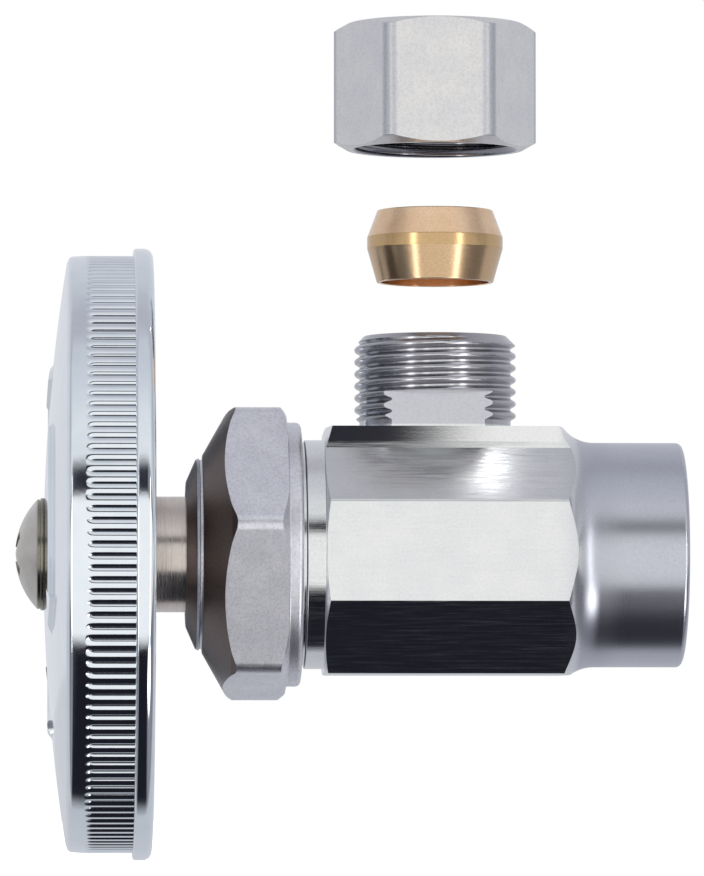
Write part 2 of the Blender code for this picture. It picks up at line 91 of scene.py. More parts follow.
# %% [markdown]
# A lathe leaves no perfectly sharp edge: each corner has a small radius that catches a thin line
# of light. A section here is a list of corners, each (along the axis, radius, fillet), and one
# function turns every corner that has a fillet into a short arc. That line of light is much of
# what makes plated metal look real, so it is worth having in the mesh and not only in a bump.

# %% Turn corners into arcs
FILLET_STEPS = 6


def rounded(corners, steps=FILLET_STEPS):
    """The corners as (along, radius) points, with an arc in place of each corner that has one."""
    points = []
    count = len(corners)
    for i, corner in enumerate(corners):
        here = Vector(corner[:2])
        if len(corner) < 3:
            points.append(tuple(here))
            continue
        before = Vector(corners[i - 1][:2]) - here
        after = Vector(corners[(i + 1) % count][:2]) - here
        half_angle = before.angle(after) / 2
        reach = min(corner[2] / tan(half_angle), 0.45 * before.length, 0.45 * after.length)
        radius = reach * tan(half_angle)
        middle = (before.normalized() + after.normalized()).normalized()
        centre = here + middle * (radius / sin(half_angle))
        start = here + before.normalized() * reach - centre
        end = here + after.normalized() * reach - centre
        for step in range(steps + 1):
            spoke = start.slerp(end, step / steps) * radius
            points.append(tuple(centre + spoke))
    return points


# %% [markdown]
# Blender's Screw modifier turns a section round an axis, as a lathe turns a bar. The section
# runs down its outer side, so the faces point out. Everything is made round Z and then laid
# along X where the piece lies on the stem's axis.

# %% Turn a section into a solid
ROUND = 160          # sides of a turned piece: each is under half a millimetre wide
SHARP_ANGLE = radians(28)
LAY_ALONG_X = Matrix.Rotation(pi / 2, 4, "Y")


def baked(obj):
    """Applies every modifier, so that the mesh itself has the final shape."""
    graph = bpy.context.evaluated_depsgraph_get()
    mesh = bpy.data.meshes.new_from_object(obj.evaluated_get(graph))
    obj.modifiers.clear()
    obj.data = mesh
    return obj


def place(obj, axis, x):
    turn = LAY_ALONG_X if axis == "X" else Matrix.Translation((x * MM, 0, 0))
    obj.data.transform(turn)
    return obj


def new_object(name, mesh):
    obj = bpy.data.objects.new(name, mesh)
    bpy.context.scene.collection.objects.link(obj)
    return obj


def turned(name, section, axis="X", x=0.0, closed=True, sides=ROUND):
    mesh = bpy.data.meshes.new(name)
    vertices = [(radius * MM, 0.0, along * MM) for along, radius in section]
    edges = [(i, i + 1) for i in range(len(vertices) - 1)]
    if closed:
        edges.append((len(vertices) - 1, 0))
    mesh.from_pydata(vertices, edges, [])
    obj = new_object(name, mesh)
    screw = obj.modifiers.new("turn", "SCREW")
    screw.steps = screw.render_steps = sides
    screw.use_merge_vertices = True
    screw.merge_threshold = 1e-7
    return place(baked(obj), axis, x)


# %% [markdown]
# Hexagon and octagon pieces start as drawn bar. The long edges of such bar are slightly round,
# so they are bevelled before anything is cut. A Boolean then cuts the bar to its turned section,
# which leaves the same curved edges on the flats that a lathe leaves on a real nut.

# %% Cut bar stock
def bar(name, sides, half_flat, low, high, edge, axis="X", x=0.0, first_corner=0.0):
    mesh = bpy.data.meshes.new(name)
    shape = bmesh.new()
    corner = half_flat / cos(pi / sides)
    bmesh.ops.create_cone(
        shape, cap_ends=True, segments=sides, radius1=corner * MM, radius2=corner * MM,
        depth=(high - low) * MM,
        matrix=Matrix.Translation((0, 0, (low + high) / 2 * MM))
        @ Matrix.Rotation(radians(first_corner), 4, "Z"))
    long_edges = [e for e in shape.edges
                  if abs(e.verts[0].co.z - e.verts[1].co.z) > (high - low) / 2 * MM]
    bmesh.ops.bevel(shape, geom=long_edges, offset=edge * MM, segments=5, affect="EDGES",
                    profile=0.5)
    shape.to_mesh(mesh)
    shape.free()
    return place(new_object(name, mesh), axis, x)


def block(name, low, high):
    """A box between two corners."""
    mesh = bpy.data.meshes.new(name)
    shape = bmesh.new()
    bmesh.ops.create_cube(shape, size=1.0)
    for vertex in shape.verts:
        vertex.co = [MM * (b if c > 0 else a) for a, b, c in zip(low, high, vertex.co)]
    shape.to_mesh(mesh)
    shape.free()
    return new_object(name, mesh)


def combine(obj, other, operation):
    """Joins, cuts or keeps the common part, bakes the result and drops the other object."""
    step = obj.modifiers.new(operation, "BOOLEAN")
    step.solver = "MANIFOLD"
    step.operation = operation
    step.object = other
    baked(obj)
    bpy.data.objects.remove(other, do_unlink=True)
    return obj


# %% [markdown]
# A screw thread is a helix, so its mesh is a grid whose rows climb by one pitch each turn. The
# crests then lie exactly on rows and stay crisp. Rows past either end are flattened onto it, and
# the radius is capped by a line that falls away at the ends: that is the chamfer where the first
# turn of a real thread fades out. The same grid, made a little larger, cuts an inside thread.

# %% Make a threaded solid
# One pitch of a 60 degree thread: (share of the pitch, share of the depth below the crest)
THREAD_FORM = [(-0.07, 1.0), (0.0, 1.0), (0.07, 1.0), (0.14, 0.82), (0.20, 0.58), (0.26, 0.34),
               (0.33, 0.14), (0.41, 0.03), (0.5, 0.0), (0.59, 0.03), (0.67, 0.14), (0.74, 0.34),
               (0.80, 0.58), (0.86, 0.82)]
THREAD_DEPTH = 0.44  # of the pitch


def depth_at(share):
    """Depth share at any place in the pitch, between the points of THREAD_FORM."""
    share = (share + 0.07) % 1.0 - 0.07
    form = THREAD_FORM + [(THREAD_FORM[0][0] + 1.0, 1.0)]
    for (a, da), (b, db) in zip(form, form[1:]):
        if a <= share <= b:
            return da + (db - da) * (share - a) / (b - a)
    return 1.0


def threaded(name, crest, pitch, low, high, cap, axis="Z", x=0.0, sides=ROUND):
    """A closed threaded rod; cap(z) is the most that the radius may be at height z."""
    mesh = bpy.data.meshes.new(name)
    shape = bmesh.new()
    turns = int((high - low) / pitch) + 3
    columns = []
    for side in range(sides + 1):
        turn = side / sides
        column = []
        for number in range(-2, turns):
            for share, _ in THREAD_FORM:
                z = min(max(low + (number + share + turn) * pitch, low), high)
                depth = THREAD_DEPTH * pitch * depth_at((z - low) / pitch - turn)
                radius = min(crest - depth, cap(z))
                angle = 2 * pi * turn
                column.append(shape.verts.new(
                    (radius * cos(angle) * MM, radius * sin(angle) * MM, z * MM)))
        columns.append(column)
    for left, right in zip(columns, columns[1:]):
        for row in range(len(left) - 1):
            shape.faces.new((left[row], right[row], right[row + 1], left[row + 1]))
    bmesh.ops.remove_doubles(shape, verts=shape.verts, dist=2e-7)
    bmesh.ops.holes_fill(shape, edges=[e for e in shape.edges if e.is_boundary])
    bmesh.ops.recalc_face_normals(shape, faces=shape.faces)
    shape.to_mesh(mesh)
    shape.free()
    return place(new_object(name, mesh), axis, x)


def polished(obj):
    """Smooth shading with sharp edges where two cuts meet; large faces keep flat reflections."""
    mesh = obj.data
    mesh.shade_smooth()
    mesh.set_sharp_from_angle(angle=SHARP_ANGLE)
    flats_lead = obj.modifiers.new("flats lead", "WEIGHTED_NORMAL")
    flats_lead.keep_sharp = True
    flats_lead.weight = 100
    print(f"{obj.name}: {len(mesh.polygons)} faces")
    return baked(obj)


def finish_piece(obj, body, node, finish):
    """Shades the piece, gives it its finish and puts it in place of its plain one."""
    polished(obj)
    obj.data.materials.clear()
    obj.data.materials.append(finish)
    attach(obj, body)
    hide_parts(node)
    return obj

# %% [markdown]
# ## The finishes
# Nearly everything is brass or zinc with a thin coat of chrome. Bright chrome is a metal with a
# roughness of a few hundredths and a faint blue tint. What keeps it from looking computer-made
# is the surface under it: turning lines, drawn-bar lines, tiny pits and a little unevenness in
# the polish. Each finish below starts from those real causes and their real spacing. A few also
# have painted shade in their tint, in grooves, in a bore and where one part sits on another.

# %% Two small helpers for node materials
def colour(code):
    """An sRGB hex colour as the linear values that the renderer works in."""
    channels = [int(code[i:i + 2], 16) / 255 for i in (1, 3, 5)]
    linear = [c / 12.92 if c <= 0.04045 else ((c + 0.055) / 1.055) ** 2.4 for c in channels]
    return (*linear, 1.0)


def add(tree, kind, sockets=None, **settings):
    """Adds one node with its settings; a socket takes a value or the output that feeds it."""
    node = tree.nodes.new(kind)
    for name, value in settings.items():
        setattr(node, name, value)
    for name, value in (sockets or {}).items():
        if isinstance(value, bpy.types.NodeSocket):
            tree.links.new(value, node.inputs[name])
        else:
            node.inputs[name].default_value = value
    return node


def far_from(tree, centre, weights):
    """Millimetres from a plane, a line or a point: weights says which axes count."""
    place_of = add(tree, "ShaderNodeTexCoord").outputs["Object"]
    away = add(tree, "ShaderNodeVectorMath",
               {0: place_of, 1: [value * MM for value in centre]}, operation="SUBTRACT")
    counted = add(tree, "ShaderNodeVectorMath",
                  {0: away.outputs[0], 1: [value / MM for value in weights]},
                  operation="MULTIPLY")
    return add(tree, "ShaderNodeVectorMath", {0: counted.outputs[0]},
               operation="LENGTH").outputs["Value"]


def facing(tree, way):
    """How squarely the surface faces along a direction of the model, either way: 0 to 1."""
    normal = add(tree, "ShaderNodeTexCoord").outputs["Normal"]
    along = add(tree, "ShaderNodeVectorMath", {0: normal, 1: way}, operation="DOT_PRODUCT")
    return add(tree, "ShaderNodeMath", {0: along.outputs["Value"]},
               operation="ABSOLUTE").outputs[0]


def zone(tree, limits):
    """1 where every limit (measure, its arguments, start, end) is past its end, else 0."""
    inside = 1.0
    for measure, arguments, start, end in limits:
        step = add(tree, "ShaderNodeMapRange", {
            "Value": measure(tree, *arguments), "From Min": start, "From Max": end},
            interpolation_type="SMOOTHSTEP")
        inside = add(tree, "ShaderNodeMath", {0: step.outputs[0], 1: inside},
                     operation="MULTIPLY").outputs[0]
    return inside


GRAINS_PER_MM = 5.0


def metal(name, tint, worn_tint, smooth, rough, lines, line_depth, pits, pit_depth, grain=0.0,
          zones=()):
    """A plated or bare metal.

    tint and worn_tint are mixed by soft clouds a few millimetres wide. lines is how many marks
    there are per millimetre along x, y and z, which also move the roughness from smooth to
    rough, and pits how many pits per millimetre. Both depths are bump heights in millimetres.
    grain is how much darker the plating is over its finest pits.
    zones lists (limits, tint, roughness) for surfaces left different and for painted shade.
    """
    made = bpy.data.materials.new(name)
    made.use_nodes = True
    tree = made.node_tree
    shader = tree.nodes["Principled BSDF"]
    shader.inputs["Metallic"].default_value = 1.0
    place_of = add(tree, "ShaderNodeTexCoord").outputs["Object"]
    in_mm = add(tree, "ShaderNodeMapping", {"Vector": place_of, "Scale": (1000, 1000, 1000)})
    along = add(tree, "ShaderNodeMapping", {
        "Vector": place_of, "Scale": [1000 * value for value in lines]})
    clouds = add(tree, "ShaderNodeTexNoise", {
        "Vector": in_mm.outputs[0], "Scale": 0.35, "Detail": 4.0, "Roughness": 0.6})
    marks = add(tree, "ShaderNodeTexNoise", {
        "Vector": along.outputs[0], "Scale": 1.0, "Detail": 3.0, "Roughness": 0.65})
    specks = add(tree, "ShaderNodeTexNoise", {
        "Vector": in_mm.outputs[0], "Scale": pits, "Detail": 2.0, "Roughness": 0.5})
    patchy = add(tree, "ShaderNodeMapRange", {
        "Value": clouds.outputs["Fac"], "From Min": 0.35, "From Max": 0.65})
    tinted = add(tree, "ShaderNodeMix", {
        "Factor": patchy.outputs[0], "A": colour(tint), "B": colour(worn_tint)},
        data_type="RGBA").outputs["Result"]
    fine = add(tree, "ShaderNodeTexNoise", {
        "Vector": in_mm.outputs[0], "Scale": GRAINS_PER_MM, "Detail": 1.0})
    shade = add(tree, "ShaderNodeMapRange", {
        "Value": fine.outputs["Fac"], "From Min": 0.3, "From Max": 0.6,
        "To Min": 1.0 - grain, "To Max": 1.0})
    uneven = add(tree, "ShaderNodeMapRange", {
        "Value": marks.outputs["Fac"], "From Min": 0.3, "From Max": 0.7,
        "To Min": smooth, "To Max": rough}).outputs[0]
    for limits, zone_tint, zone_roughness in zones:
        inside = zone(tree, limits)
        tinted = add(tree, "ShaderNodeMix", {
            "Factor": inside, "A": tinted, "B": colour(zone_tint)},
            data_type="RGBA").outputs["Result"]
        uneven = add(tree, "ShaderNodeMapRange", {
            "Value": inside, "To Min": uneven, "To Max": zone_roughness}).outputs[0]
    grainy = add(tree, "ShaderNodeVectorMath", {0: tinted, "Scale": shade.outputs[0]},
                 operation="SCALE").outputs[0]
    pitted = add(tree, "ShaderNodeBump", {
        "Height": specks.outputs["Fac"], "Strength": 1.0, "Distance": pit_depth * MM})
    lined = add(tree, "ShaderNodeBump", {
        "Height": marks.outputs["Fac"], "Strength": 1.0, "Distance": line_depth * MM,
        "Normal": pitted.outputs[0]})
    tree.links.new(grainy, shader.inputs["Base Color"])
    tree.links.new(uneven, shader.inputs["Roughness"])
    tree.links.new(lined.outputs[0], shader.inputs["Normal"])
    print(f"finish {name}: {len(tree.nodes)} nodes")
    return made

# %% [markdown]
# ## The body
# The body is an octagonal brass bar with a raised rib on top. The lathe turns one end down to
# the round inlet socket and leaves a hollow flare behind the cutter; the other end becomes a
# collar and a threaded neck. Keeping only what the turned section and the bar have in common
# gives the curved ends of the flats, so no curve has to be drawn by hand.

# %% Body finish
# The flats keep faint lines along the drawn bar. The zones are, in order: the turned socket,
# left coarser before plating and so greyer; the hollow flare, which no polishing wheel reaches;
# the front of the rib, polished brightest; the thread, tinted a darker grey all over; and the
# two wrench flats, milled late and a shade darker.
TURNED_END = -7.5
THREAD_FLOOR = 11.2
THREAD_ROOT = 6.0
FLARE_MIDDLE, FLARE_MIDDLE_RADIUS = -8.4, 10.2
RIB_SIDE = 5.2
BODY_CHROME = metal(
    "chrome_plated_machined_brass", "#E4E5E4", "#DFE1E2", 0.07, 0.26,
    lines=(0.2, 5.0, 5.0), line_depth=0.0008, pits=6.0, pit_depth=0.0008, grain=0.05,
    zones=[
        ([(far_from, ((0, 0, 0), (1, 0, 0)), -TURNED_END + 4.5, -TURNED_END)],
         "#C3C5CE", 0.27),
        ([(far_from, ((FLARE_MIDDLE, 0, 0), (1, 0, 0)), 3.0, 0.6),
          (far_from, ((0, 0, 0), (0, 1, 1)), FLARE_MIDDLE_RADIUS + 0.35, FLARE_MIDDLE_RADIUS)],
         "#C0C2CB", 0.33),
        ([(far_from, ((0, 0, HALF_FLAT - 0.15), (0, 0, 1)), 0.75, 0.65),
          (far_from, ((0, 0, 0), (0, 1, 0)), RIB_SIDE, RIB_SIDE + 0.1),
          (far_from, ((0, 0, 0), (1, 0, 0)), -TURNED_END + 3.0, -TURNED_END + 4.0)],
         "#E4E5E4", 0.06),
        ([(far_from, ((0, 0, 0), (0, 0, 1)), THREAD_FLOOR, THREAD_FLOOR + 0.2),
          (far_from, ((OUTLET_X, 0, 0), (1, 1, 0)), THREAD_ROOT, THREAD_ROOT + 0.2),
          (facing, ((0, 1, 0),), 0.99, 0.97)], "#B2B1B5", 0.2),
        ([(far_from, ((0, 0, 0), (0, 0, 1)), THREAD_FLOOR, THREAD_FLOOR + 0.2),
          (facing, ((0, 1, 0),), 0.985, 0.995)], "#C4C5CB", 0.2)])

# %% Sizes of the body
SOCKET_BORE = 7.975
SOCKET_WALL = 1.945
SOCKET_DEPTH = 12.7
SOCKET_LENGTH = 7.75
FLARE_RADIUS = 3.5
FLARE_STEPS = 20
BODY_END = -31.7
SHOULDER = 0.8
RIB_RISE = 0.53
RIB_HALF_WIDTH = 5.6
RIB_FOOT_HALF_WIDTH = 5.8
RIB_FOOT_HEIGHT = 1.94
RIB_LEAN = (0.21, 0.09)    # per millimetre down, at the collar and at the socket
RIB_DEPTH = 4.0
RIB_STEPS = 24
TURNED_RADIUS = hypot(HALF_FLAT + RIB_RISE, RIB_HALF_WIDTH) + 0.3
COLLAR_RADIUS = 10.1
COLLAR_END = -33.4
NECK_RADIUS = 9.8
ORIFICE = 3.2
CHAMBER_RADIUS = 6.5
CHAMBER_WALL = -16.4
CHAMBER_END = -27.5
SEAT_FACE = -17.2
STEM_BORE = 5.4
RECESS_RADIUS = 8.0
RECESS_FLOOR = -36.3


def flare():
    """The arc that the lathe leaves between the socket and the flats."""
    outer = SOCKET_BORE + SOCKET_WALL
    sweep = acos(1 - (TURNED_RADIUS - outer) / FLARE_RADIUS)
    return [(-SOCKET_LENGTH - FLARE_RADIUS * sin(sweep * i / FLARE_STEPS),
             outer + FLARE_RADIUS * (1 - cos(sweep * i / FLARE_STEPS)))
            for i in range(FLARE_STEPS + 1)]


def body_section():
    outer = SOCKET_BORE + SOCKET_WALL
    return rounded([(0.0, outer, 0.5)] + flare() + [
        (BODY_END + SHOULDER, TURNED_RADIUS),
        (BODY_END, HALF_FLAT, 0.25),
        (BODY_END, COLLAR_RADIUS, 0.1),
        (COLLAR_END, COLLAR_RADIUS, 0.2),
        (COLLAR_END, NECK_RADIUS, 0.05),
        (body_low.x, NECK_RADIUS, 0.4),
        (body_low.x, RECESS_RADIUS, 0.2),
        (RECESS_FLOOR, RECESS_RADIUS),
        (RECESS_FLOOR, STEM_BORE, 0.3),
        (CHAMBER_END, STEM_BORE),
        (CHAMBER_END, CHAMBER_RADIUS),
        (CHAMBER_WALL, CHAMBER_RADIUS, 0.4),
        (CHAMBER_WALL, ORIFICE + 0.9, 0.15),
        (SEAT_FACE, ORIFICE + 0.9, 0.25),
        (SEAT_FACE, ORIFICE, 0.25),
        (-SOCKET_DEPTH, ORIFICE),
        (-SOCKET_DEPTH, SOCKET_BORE, 0.2),
        (0.0, SOCKET_BORE, 0.4)])


# %% [markdown]
# The outlet carries a 9/16-24 thread: 14.29 mm over its crests and 24 turns to the inch. Two
# wrench flats are milled across its root after threading, so the lowest turns stop at them and
# end in small bright points. Cutting the flats out of a real helix gives those points for free.

# %% The threaded outlet
THREAD_CREST = 7.145
THREAD_PITCH = 25.4 / 24
THREAD_START = HALF_FLAT + 1.15
RIM_RADIUS = 6.3
RELIEF_RADIUS = 6.75
WRENCH_HALF_FLAT = 5.3
WRENCH_TOP = HALF_FLAT + 3.6
MOUTH_RADIUS = 5.75
MOUTH_DEPTH = 3.2
TUBE_SOCKET = 4.8525
TUBE_SOCKET_FLOOR = OUTLET_TOP - 6.3


def outlet_cap(z):
    """The chamfer at the rim, and the run-out at the thread's lower end."""
    return min(RIM_RADIUS + 1.0 * (OUTLET_TOP - z), RELIEF_RADIUS + 1.2 * (z - THREAD_START))


def outlet():
    boss = threaded("outlet", THREAD_CREST, THREAD_PITCH, THREAD_START, OUTLET_TOP,
                    outlet_cap, x=OUTLET_X)
    root = turned("outlet_root", [
        (THREAD_START + 0.3, 0.0), (THREAD_START + 0.3, RELIEF_RADIUS - 0.06),
        (HALF_FLAT + 0.75, RELIEF_RADIUS - 0.06), (CHAMBER_RADIUS + 0.3, RELIEF_RADIUS + 0.45),
        (CHAMBER_RADIUS + 0.3, 0.0)], "Z", OUTLET_X, closed=False)
    combine(boss, root, "UNION")
    for side in (-1, 1):
        near, far = sorted((side * WRENCH_HALF_FLAT, side * (THREAD_CREST + 1)))
        flat = block("flat", (OUTLET_X - 9, near, 0), (OUTLET_X + 9, far, WRENCH_TOP))
        combine(boss, flat, "DIFFERENCE")
    return boss


def outlet_bore():
    return turned("outlet_bore", rounded([
        (OUTLET_TOP + 1, 0.0), (OUTLET_TOP + 1, MOUTH_RADIUS + 0.3),
        (OUTLET_TOP, MOUTH_RADIUS), (OUTLET_TOP - MOUTH_DEPTH, TUBE_SOCKET),
        (TUBE_SOCKET_FLOOR, TUBE_SOCKET), (TUBE_SOCKET_FLOOR, ORIFICE),
        (CHAMBER_RADIUS / 2, ORIFICE), (CHAMBER_RADIUS / 2, 0.0)]), "Z", OUTLET_X, closed=False)


# %% Put the body together
def rib():
    """The raised rib. Polishing has leaned its sides over a little more at the collar's end."""
    shape = bmesh.new()
    rings = []
    for step in range(RIB_STEPS + 1):
        share = step / RIB_STEPS
        x = (BODY_END - 1) * (1 - share) - SOCKET_LENGTH * share
        lean = RIB_LEAN[0] * (1 - share) + RIB_LEAN[1] * share
        top = RIB_FOOT_HALF_WIDTH - lean * RIB_FOOT_HEIGHT
        foot = top + lean * (RIB_RISE + RIB_DEPTH)
        floor, roof = HALF_FLAT - RIB_DEPTH, HALF_FLAT + RIB_RISE
        rings.append([shape.verts.new((x * MM, y * MM, z * MM)) for y, z in
                      ((-foot, floor), (foot, floor), (top, roof), (-top, roof))])
    for here, there in zip(rings, rings[1:]):
        for i in range(4):
            j = (i + 1) % 4
            shape.faces.new((here[i], here[j], there[j], there[i]))
    shape.faces.new(rings[0])
    shape.faces.new(rings[-1])
    bmesh.ops.recalc_face_normals(shape, faces=shape.faces)
    mesh = bpy.data.meshes.new("rib")
    shape.to_mesh(mesh)
    shape.free()
    return new_object("rib", mesh)


def valve_body():
    body = bar("valve_body_fine", 8, HALF_FLAT, body_low.x - 1, 1, 0.12, first_corner=22.5)
    combine(body, rib(), "UNION")
    combine(body, turned("body_section", body_section(), sides=2 * ROUND), "INTERSECT")
    combine(body, outlet(), "UNION")
    combine(body, outlet_bore(), "DIFFERENCE")
    return body


finish_piece(valve_body(), "root", "valve_body", BODY_CHROME)

# %% [markdown]
# ## The packing nut
# This forged hexagon nut squeezes the packing round the stem. It is chromed but not buffed, so
# it looks satin and slightly grainy. Towards the wheel it is turned to a wide cone with a small
# groove and a domed lip, and towards the body it ends in a round flange.

# %% Packing nut
# The cone that faces the wheel is tinted a dull dark brown.
NUT_CHROME = metal(
    "satin_chrome_on_forged_brass", "#EAEAF0", "#DEDEE5", 0.34, 0.44,
    lines=(4.0, 0.4, 0.4), line_depth=0.002, pits=7.0, pit_depth=0.008, grain=0.16,
    zones=[([(facing, ((1, 0, 0),), 0.5, 0.62), (far_from, ((0, 0, 0), (1, 0, 0)), 38.5, 39.0)],
            "#78665E", 0.34)])
NUT_HALF_FLAT = 11.9
NUT_TURN = 10.0
FLANGE_RADIUS = 11.65
HEX_START = nut_high.x - 1.3
HEX_END = HEX_START - 5.0
CONE_END = HEX_END - 2.6
CONE_RADIUS = 12.9
LIP_RADIUS = 8.5
LIP_END_RADIUS = 6.4
NUT_POCKET = nut_low.x + 2.6


def packing_nut():
    nut = bar("packing_nut_fine", 6, NUT_HALF_FLAT, nut_low.x - 1, nut_high.x + 1, 0.8,
              first_corner=180 - NUT_TURN)
    wide = NUT_HALF_FLAT / cos(pi / 6) + 0.3
    section = rounded([
        (nut_high.x, FLANGE_RADIUS, 0.45),
        (HEX_START, FLANGE_RADIUS, 0.15),
        (HEX_START, 12.3, 0.1),
        (HEX_START - 0.9, wide),
        (HEX_END + 0.9, wide),
        (HEX_END, CONE_RADIUS, 0.3),
        (CONE_END + 0.25, LIP_RADIUS + 0.25, 0.1),
        (CONE_END + 0.25, LIP_RADIUS - 0.15, 0.08),
        (CONE_END - 0.05, LIP_RADIUS - 0.15, 0.08),
        (CONE_END - 0.05, LIP_RADIUS, 0.12),
        (CONE_END - 0.35, LIP_RADIUS - 0.15, 0.2),
        (nut_low.x, LIP_END_RADIUS, 0.5),
        (nut_low.x, STEM_BORE, 0.15),
        (NUT_POCKET, STEM_BORE),
        (NUT_POCKET, RECESS_RADIUS),
        (body_low.x - 0.3, RECESS_RADIUS),
        (body_low.x - 0.3, NECK_RADIUS + 0.3),
        (nut_high.x, NECK_RADIUS + 0.3, 0.2)])
    return combine(nut, turned("nut_section", section), "INTERSECT")


finish_piece(packing_nut(), "root", "packing_nut", NUT_CHROME)

# %% [markdown]
# ## The handle wheel
# The wheel is die-cast zinc under bright chrome. Its rim has 160 fine ribs for wet fingers, cast
# with narrow grooves between broad round backs, and both ends of every rib fade into plain
# bands. The ribs change the outline itself, so they are made in the mesh: a grid round the rim
# whose radius follows the rib's shape. The face is a shallow dome with a ring of raised arrows,
# which stands in for the usual markings without any lettering.

# %% Wheel sizes and its finish
RIB_COUNT = 160
SIDES_PER_RIB = 12
GROOVE_DEPTH = 0.2
WHEEL_RADIUS = 26.3
BAND_START = wheel_high.x - 1.7
RIBS_END = BAND_START - 4.2
RIBS_MIDDLE = (BAND_START + RIBS_END) / 2
# Painted shade: the bottoms of the grooves are tinted dark and draw them as thin dark dashes.
WHEEL_CHROME = metal(
    "bright_chrome_on_die_cast_zinc", "#E6ECF1", "#DFE6EC", 0.06, 0.11,
    lines=(0.6, 0.6, 0.6), line_depth=0.0015, pits=1.2, pit_depth=0.002,
    zones=[([(far_from, ((0, 0, 0), (0, 1, 1)), WHEEL_RADIUS - 0.12, WHEEL_RADIUS - 0.19),
             (far_from, ((0, 0, 0), (0, 1, 1)), WHEEL_RADIUS - 0.8, WHEEL_RADIUS - 0.7),
             (far_from, ((RIBS_MIDDLE, 0, 0), (1, 0, 0)), 2.2, 2.1)], "#34383E", 0.3)])
WHEEL_FRONT = BAND_START - 5.5
CROWN = 2.0
CROWN_EDGE = WHEEL_FRONT - 0.35
CROWN_TOP = CROWN_EDGE - CROWN
CROWN_RADIUS = WHEEL_RADIUS - 0.7
WALL = 1.6
HUB_RADIUS = 7.5
HUB_BACK = wheel_high.x - 0.8
SPOT_RADIUS = 5.3
SPOT_FACE = CROWN_TOP + 0.4
SQUARE_HALF = 3.5
HUB_FLOOR = stem_low.x - 0.3
SPHERE = (CROWN_RADIUS ** 2 + CROWN ** 2) / (2 * CROWN)


def crown(offset, outer, inner, steps):
    radii = [outer + (inner - outer) * i / steps for i in range(steps + 1)]
    return [(CROWN_TOP + offset + SPHERE - sqrt(SPHERE ** 2 - r ** 2), r) for r in radii]


def wheel_section():
    """The ribbed band and the face have close rows; the rest has only its corners."""
    ribbed = [(BAND_START - (BAND_START - RIBS_END) * i / 24, WHEEL_RADIUS)
              for i in range(25)]
    front = rounded([
        (RIBS_END - 0.1, WHEEL_RADIUS), (WHEEL_FRONT - 0.1, WHEEL_RADIUS - 0.08, 0.8),
        (CROWN_EDGE, CROWN_RADIUS)], 8)[:-1]
    back = rounded([
        (SPOT_FACE, SPOT_RADIUS), (SPOT_FACE, 2.2, 0.2), (HUB_BACK, 2.2),
        (HUB_BACK, HUB_RADIUS, 0.4), (CROWN_TOP + WALL + 0.15, HUB_RADIUS, 0.8)]
        + crown(WALL, HUB_RADIUS + 0.9, CROWN_RADIUS - WALL - 0.3, 12)
        + [(WHEEL_FRONT + WALL + 0.5, WHEEL_RADIUS - WALL),
           (wheel_high.x, WHEEL_RADIUS - WALL, 0.25), (wheel_high.x, wheel_high.z, 1.1),
           (BAND_START, wheel_high.z, 0.35), (BAND_START, WHEEL_RADIUS + 0.02)])
    return ribbed + front + crown(0.0, CROWN_RADIUS, SPOT_RADIUS + 0.1, 110) + back


def groove(turn, x):
    """How deep the rim is cut at this place round it and along it."""
    if not RIBS_END <= x <= BAND_START + 1e-6:
        return 0.0
    share = turn * RIB_COUNT % 1.0
    from_groove = min(share, 1.0 - share) * 2.0
    fade = min((x - RIBS_END) / 0.7, 1.0)
    return GROOVE_DEPTH * (1.0 - from_groove) ** 2.4 * sin(pi / 2 * fade)


# Each of the three marks: its shaft and its head as shares of the way to the next mark
MARK_COUNT = 3
MARK_START, HEAD_START, MARK_END = 0.15, 0.62, 0.74
MARK_RADIUS = 15.5
SHAFT_HALF_WIDTH = 0.9
HEAD_HALF_WIDTH = 2.4
MARK_HEIGHT = 0.35
MARK_SLOPE = 0.7


def mark_height(turn, radius):
    """Raised arrows round the face, all pointing the way that closes the valve."""
    share = turn * MARK_COUNT % 1.0
    if not MARK_START < share < MARK_END:
        return 0.0
    half_width = SHAFT_HALF_WIDTH
    if share >= HEAD_START:
        half_width = HEAD_HALF_WIDTH * (MARK_END - share) / (MARK_END - HEAD_START)
    height = min(max((half_width - abs(radius - MARK_RADIUS)) / MARK_SLOPE, 0.0), 1.0)
    return MARK_HEIGHT * height * height * (3.0 - 2.0 * height)


def handle_wheel():
    section = wheel_section()
    sides = RIB_COUNT * SIDES_PER_RIB
    shape = bmesh.new()
    rings = []
    for side in range(sides):
        turn = side / sides
        ring = []
        for x, radius in section:
            on_face = x < CROWN_EDGE and radius > SPOT_RADIUS
            raised = mark_height(turn, radius) if on_face else 0.0
            r = radius - (groove(turn, x) if radius > WHEEL_RADIUS - 0.01 else 0.0)
            ring.append(shape.verts.new(
                ((x - raised) * MM, r * cos(2 * pi * turn) * MM, r * sin(2 * pi * turn) * MM)))
        rings.append(ring)
    for here, there in zip(rings, rings[1:] + rings[:1]):
        for i in range(len(here)):
            j = (i + 1) % len(here)
            shape.faces.new((here[i], there[i], there[j], here[j]))
    bmesh.ops.recalc_face_normals(shape, faces=shape.faces)
    mesh = bpy.data.meshes.new("handle_wheel_fine")
    shape.to_mesh(mesh)
    shape.free()
    wheel = new_object("handle_wheel_fine", mesh)
    socket = block("socket", (HUB_FLOOR, -SQUARE_HALF, -SQUARE_HALF),
                   (HUB_BACK + 1, SQUARE_HALF, SQUARE_HALF))
    return combine(wheel, socket, "DIFFERENCE")


finish_piece(handle_wheel(), "spindle", "handle_wheel", WHEEL_CHROME)
